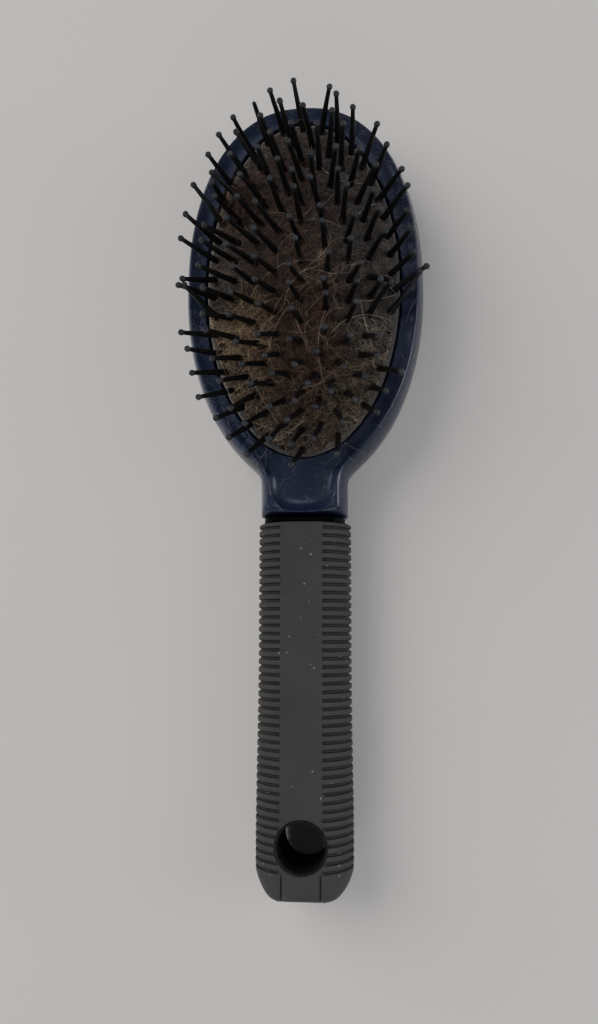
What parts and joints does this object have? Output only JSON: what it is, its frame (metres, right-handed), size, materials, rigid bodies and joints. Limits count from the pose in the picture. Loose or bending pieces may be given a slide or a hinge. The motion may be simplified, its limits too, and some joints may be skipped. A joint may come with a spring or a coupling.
{
  "type": "cushion pet brush",
  "caption": "Oval cushion brush for pets: ball-tipped pins in a springy rubber dome, a dished bezel and a ribbed grip with a hanging hole.",
  "frame": {"origin": "under the middle of the whole brush, on the surface that it lies on", "axes": "+Y along the handle towards the head's tip, +Z out of the cushion towards the pin tips, +X to the right seen from the pins' side"},
  "size_m": [0.0698, 0.23, 0.0411],
  "materials": {
    "head_plastic": "semi-gloss navy moulded ABS, fine scratches and dust",
    "bezel_plastic": "semi-gloss navy moulded ABS, dished face",
    "pad_rubber": "matte natural rubber, dusty, covered in lint",
    "pin_nylon": "black moulded nylon, satin, greyer at the ball tips",
    "grip_rubber": "matte dark grey soft rubber, ribbed, a few pale specks",
    "core_plastic": "black moulded ABS",
    "eyelet_plastic": "smooth black plastic",
    "hair": "loose dog hair and lint caught on the pad"
  },
  "bodies": {
    "frame": {"head_shell": "head_plastic", "front_bezel": "bezel_plastic", "handle_core": "core_plastic", "neck_collar": "core_plastic", "grip_sleeve": "grip_rubber", "hang_hole_eyelet": "eyelet_plastic"},
    "cushion": {"cushion_pad": "pad_rubber"},
    "pins_left5": {"pins_left5_neck": "pin_nylon", "pins_left5_tip": "pin_nylon"},
    "pins_left4": {"pins_left4_neck": "pin_nylon", "pins_left4_tip": "pin_nylon"},
    "pins_left3": {"pins_left3_neck": "pin_nylon", "pins_left3_tip": "pin_nylon"},
    "pins_left2": {"pins_left2_neck": "pin_nylon", "pins_left2_tip": "pin_nylon"},
    "pins_left1": {"pins_left1_neck": "pin_nylon", "pins_left1_tip": "pin_nylon"},
    "pins_middle": {"pins_middle_neck": "pin_nylon", "pins_middle_tip": "pin_nylon"},
    "pins_right1": {"pins_right1_neck": "pin_nylon", "pins_right1_tip": "pin_nylon"},
    "pins_right2": {"pins_right2_neck": "pin_nylon", "pins_right2_tip": "pin_nylon"},
    "pins_right3": {"pins_right3_neck": "pin_nylon", "pins_right3_tip": "pin_nylon"},
    "pins_right4": {"pins_right4_neck": "pin_nylon", "pins_right4_tip": "pin_nylon"},
    "pins_right5": {"pins_right5_neck": "pin_nylon", "pins_right5_tip": "pin_nylon"}
  },
  "joints": [
    {"name": "cushion_press", "type": "slide", "parent": "frame", "child": "cushion", "axis": [0, 0, -1], "range_m": [0, 0.003], "stiffness_N_per_m": 1500, "deforming": ["cushion_pad"]},
    {"name": "pins_left5_lean", "type": "hinge", "parent": "cushion", "child": "pins_left5", "pos_m": [-0.0246, 0.0585, 0.02039], "axis": [0, 1, 0], "range_deg": [-8, 8], "stiffness_Nm_per_rad": 0.006},
    {"name": "pins_left4_lean", "type": "hinge", "parent": "cushion", "child": "pins_left4", "pos_m": [-0.0208, 0.0585, 0.02111], "axis": [0, 1, 0], "range_deg": [-8, 8], "stiffness_Nm_per_rad": 0.006},
    {"name": "pins_left3_lean", "type": "hinge", "parent": "cushion", "child": "pins_left3", "pos_m": [-0.0156, 0.0585, 0.02181], "axis": [0, 1, 0], "range_deg": [-8, 8], "stiffness_Nm_per_rad": 0.006},
    {"name": "pins_left2_lean", "type": "hinge", "parent": "cushion", "child": "pins_left2", "pos_m": [-0.0104, 0.0585, 0.02229], "axis": [0, 1, 0], "range_deg": [-8, 8], "stiffness_Nm_per_rad": 0.006},
    {"name": "pins_left1_lean", "type": "hinge", "parent": "cushion", "child": "pins_left1", "pos_m": [-0.0052, 0.0585, 0.02258], "axis": [0, 1, 0], "range_deg": [-8, 8], "stiffness_Nm_per_rad": 0.006},
    {"name": "pins_middle_lean", "type": "hinge", "parent": "cushion", "child": "pins_middle", "pos_m": [0, 0.0585, 0.02268], "axis": [0, 1, 0], "range_deg": [-8, 8], "stiffness_Nm_per_rad": 0.006},
    {"name": "pins_right1_lean", "type": "hinge", "parent": "cushion", "child": "pins_right1", "pos_m": [0.0052, 0.0585, 0.02258], "axis": [0, 1, 0], "range_deg": [-8, 8], "stiffness_Nm_per_rad": 0.006},
    {"name": "pins_right2_lean", "type": "hinge", "parent": "cushion", "child": "pins_right2", "pos_m": [0.0104, 0.0585, 0.02229], "axis": [0, 1, 0], "range_deg": [-8, 8], "stiffness_Nm_per_rad": 0.006},
    {"name": "pins_right3_lean", "type": "hinge", "parent": "cushion", "child": "pins_right3", "pos_m": [0.0156, 0.0585, 0.02181], "axis": [0, 1, 0], "range_deg": [-8, 8], "stiffness_Nm_per_rad": 0.006},
    {"name": "pins_right4_lean", "type": "hinge", "parent": "cushion", "child": "pins_right4", "pos_m": [0.0208, 0.0585, 0.02111], "axis": [0, 1, 0], "range_deg": [-8, 8], "stiffness_Nm_per_rad": 0.006},
    {"name": "pins_right5_lean", "type": "hinge", "parent": "cushion", "child": "pins_right5", "pos_m": [0.0246, 0.0585, 0.02039], "axis": [0, 1, 0], "range_deg": [-8, 8], "stiffness_Nm_per_rad": 0.006}
  ]
}
